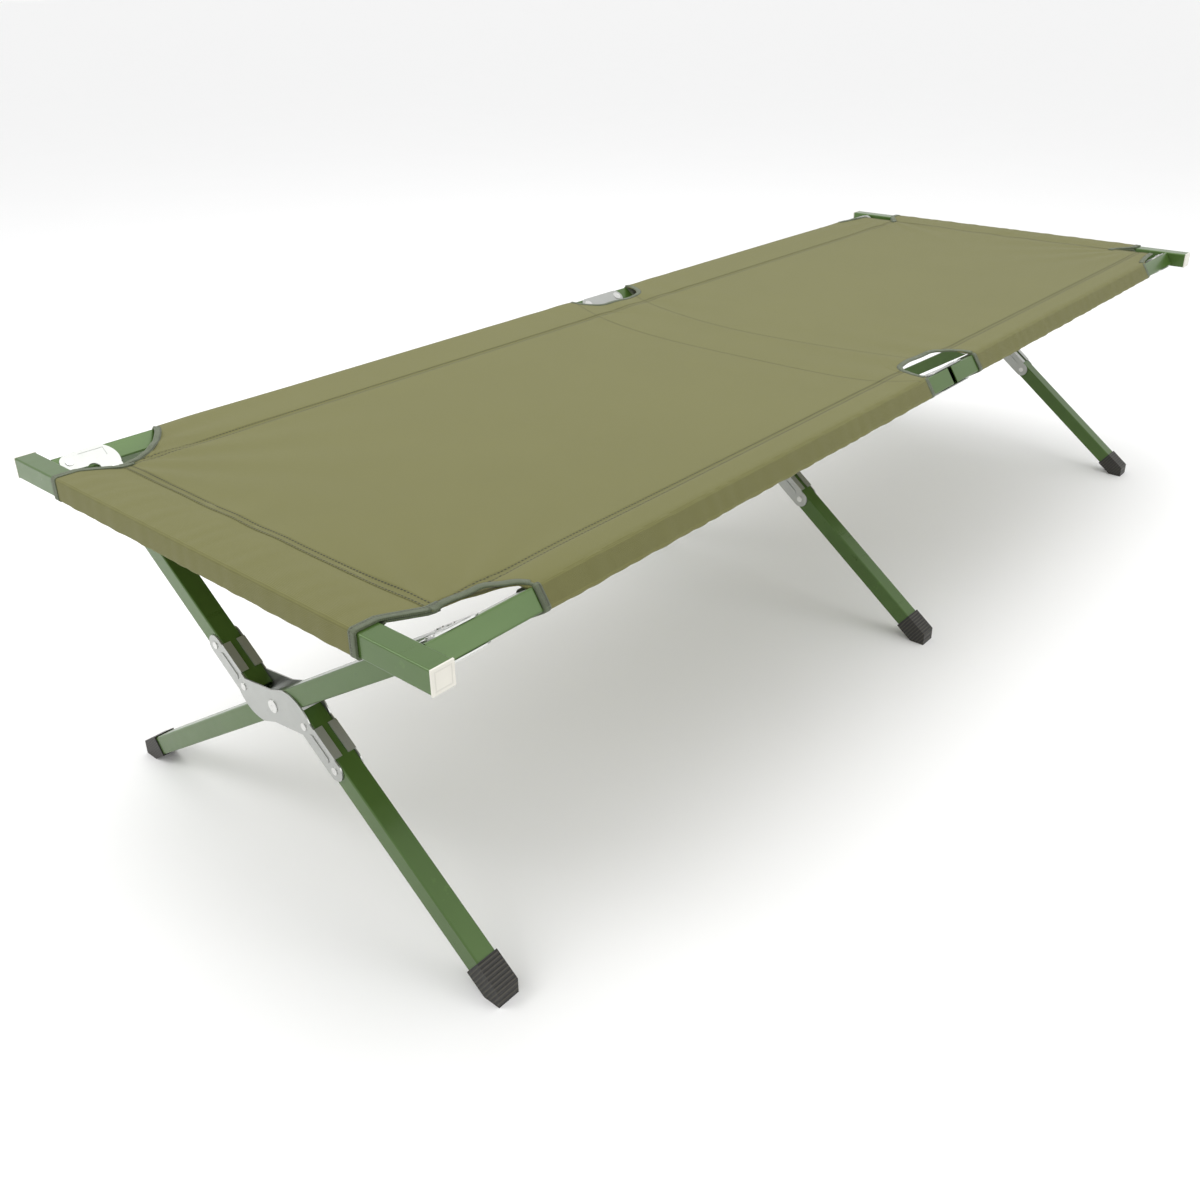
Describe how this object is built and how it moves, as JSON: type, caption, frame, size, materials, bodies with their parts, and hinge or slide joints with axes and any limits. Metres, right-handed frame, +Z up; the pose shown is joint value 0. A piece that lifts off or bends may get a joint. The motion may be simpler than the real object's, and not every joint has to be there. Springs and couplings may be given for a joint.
{
  "type": "folding cot",
  "caption": "Folding camp cot: green square-tube frame on crossing legs, pressed silver plates and a khaki woven fabric stretched between side rails and end bars",
  "frame": {"origin": "on the floor under the middle of the cot", "axes": "+X along the cot to its foot end, +Y to its left side, +Z up"},
  "size_m": [1.978, 0.732, 0.4524],
  "materials": {
    "green_tube": "glossy metallic green enamel",
    "pressed_plate": "bright pressed plate",
    "rivet_steel": "satin rivets and studs",
    "bar_cap": "cream moulded cap",
    "nylon_plug": "black moulded plug",
    "rubber_foot": "black ridged rubber",
    "cot_fabric": "ribbed khaki canvas with bound edges"
  },
  "bodies": {
    "front_left": {"rail_front_left": "green_tube", "rail_plug_front_left": "nylon_plug", "corner_plates_head_left": "pressed_plate", "corner_rivets_head_left": "rivet_steel", "leg_upper_head": "green_tube", "leg_lower_head": "green_tube", "crossing_plates_head": "pressed_plate", "crossing_rivets_head": "rivet_steel", "foot_head_right": "rubber_foot", "sleeve_front_left": "cot_fabric", "cover_front": "cot_fabric"},
    "front_right": {"rail_front_right": "green_tube", "rail_plug_front_right": "nylon_plug", "hinge_pin_front_right": "rivet_steel", "corner_plates_head_right": "pressed_plate", "corner_rivets_head_right": "rivet_steel", "leg_straight_head": "green_tube", "foot_head_left": "rubber_foot", "sleeve_front_right": "cot_fabric"},
    "link_left": {"link_plates_left": "pressed_plate", "link_rivets_left": "rivet_steel", "leg_upper_middle": "green_tube", "leg_lower_middle": "green_tube", "crossing_plates_middle": "pressed_plate", "crossing_rivets_middle": "rivet_steel", "foot_middle_right": "rubber_foot", "cover_middle": "cot_fabric"},
    "link_right": {"link_plates_right": "pressed_plate", "link_rivets_right": "rivet_steel", "leg_straight_middle": "green_tube", "foot_middle_left": "rubber_foot"},
    "rear_left": {"rail_rear_left": "green_tube", "rail_plug_rear_left": "nylon_plug", "corner_plates_foot_left": "pressed_plate", "corner_rivets_foot_left": "rivet_steel", "leg_upper_foot": "green_tube", "leg_lower_foot": "green_tube", "crossing_plates_foot": "pressed_plate", "crossing_rivets_foot": "rivet_steel", "foot_foot_right": "rubber_foot", "sleeve_rear_left": "cot_fabric", "cover_rear": "cot_fabric"},
    "rear_right": {"rail_rear_right": "green_tube", "rail_plug_rear_right": "nylon_plug", "hinge_pin_rear_right": "rivet_steel", "corner_plates_foot_right": "pressed_plate", "corner_rivets_foot_right": "rivet_steel", "leg_straight_foot": "green_tube", "foot_foot_left": "rubber_foot", "sleeve_rear_right": "cot_fabric"},
    "head_bar": {"head_bar": "green_tube", "head_bar_studs": "rivet_steel", "head_bar_caps": "bar_cap", "hem_head": "cot_fabric"},
    "foot_bar": {"foot_bar": "green_tube", "foot_bar_studs": "rivet_steel", "foot_bar_caps": "bar_cap", "hem_foot": "cot_fabric"}
  },
  "joints": [
    {"name": "scissor", "type": "hinge", "parent": "front_left", "child": "front_right", "pos_m": [-0.9033, 0, 0.223], "axis": [-1, 0, 0], "range_deg": [0, 109.64], "deforming": ["cover_front"]},
    {"name": "fold", "type": "hinge", "parent": "front_left", "child": "link_left", "pos_m": [-0.02, 0.325, 0.4325], "axis": [0, -0.6095, 0.7928], "range_deg": [0, 90]},
    {"name": "middle_scissor", "type": "hinge", "parent": "link_left", "child": "link_right", "pos_m": [0.0275, 0, 0.223], "axis": [-1, 0, 0], "range_deg": [0, 109.64], "deforming": ["cover_middle"]},
    {"name": "fold_rear", "type": "hinge", "parent": "link_left", "child": "rear_left", "pos_m": [0.054, 0.325, 0.4325], "axis": [0, -0.6095, 0.7928], "range_deg": [0, 90]},
    {"name": "rear_scissor", "type": "hinge", "parent": "rear_left", "child": "rear_right", "pos_m": [0.9033, 0, 0.223], "axis": [-1, 0, 0], "range_deg": [0, 109.64], "deforming": ["cover_rear"]},
    {"name": "head_bar_unhook", "type": "slide", "parent": "front_left", "child": "head_bar", "axis": [-1, 0, 0], "range_m": [0, 0.0072]},
    {"name": "foot_bar_unhook", "type": "slide", "parent": "rear_left", "child": "foot_bar", "axis": [1, 0, 0], "range_m": [0, 0.0072]}
  ],
  "couplings": [
    {"joint": "middle_scissor", "follows": "scissor", "ratio": 1},
    {"joint": "rear_scissor", "follows": "scissor", "ratio": 1},
    {"joint": "fold_rear", "follows": "fold", "ratio": 1}
  ]
}
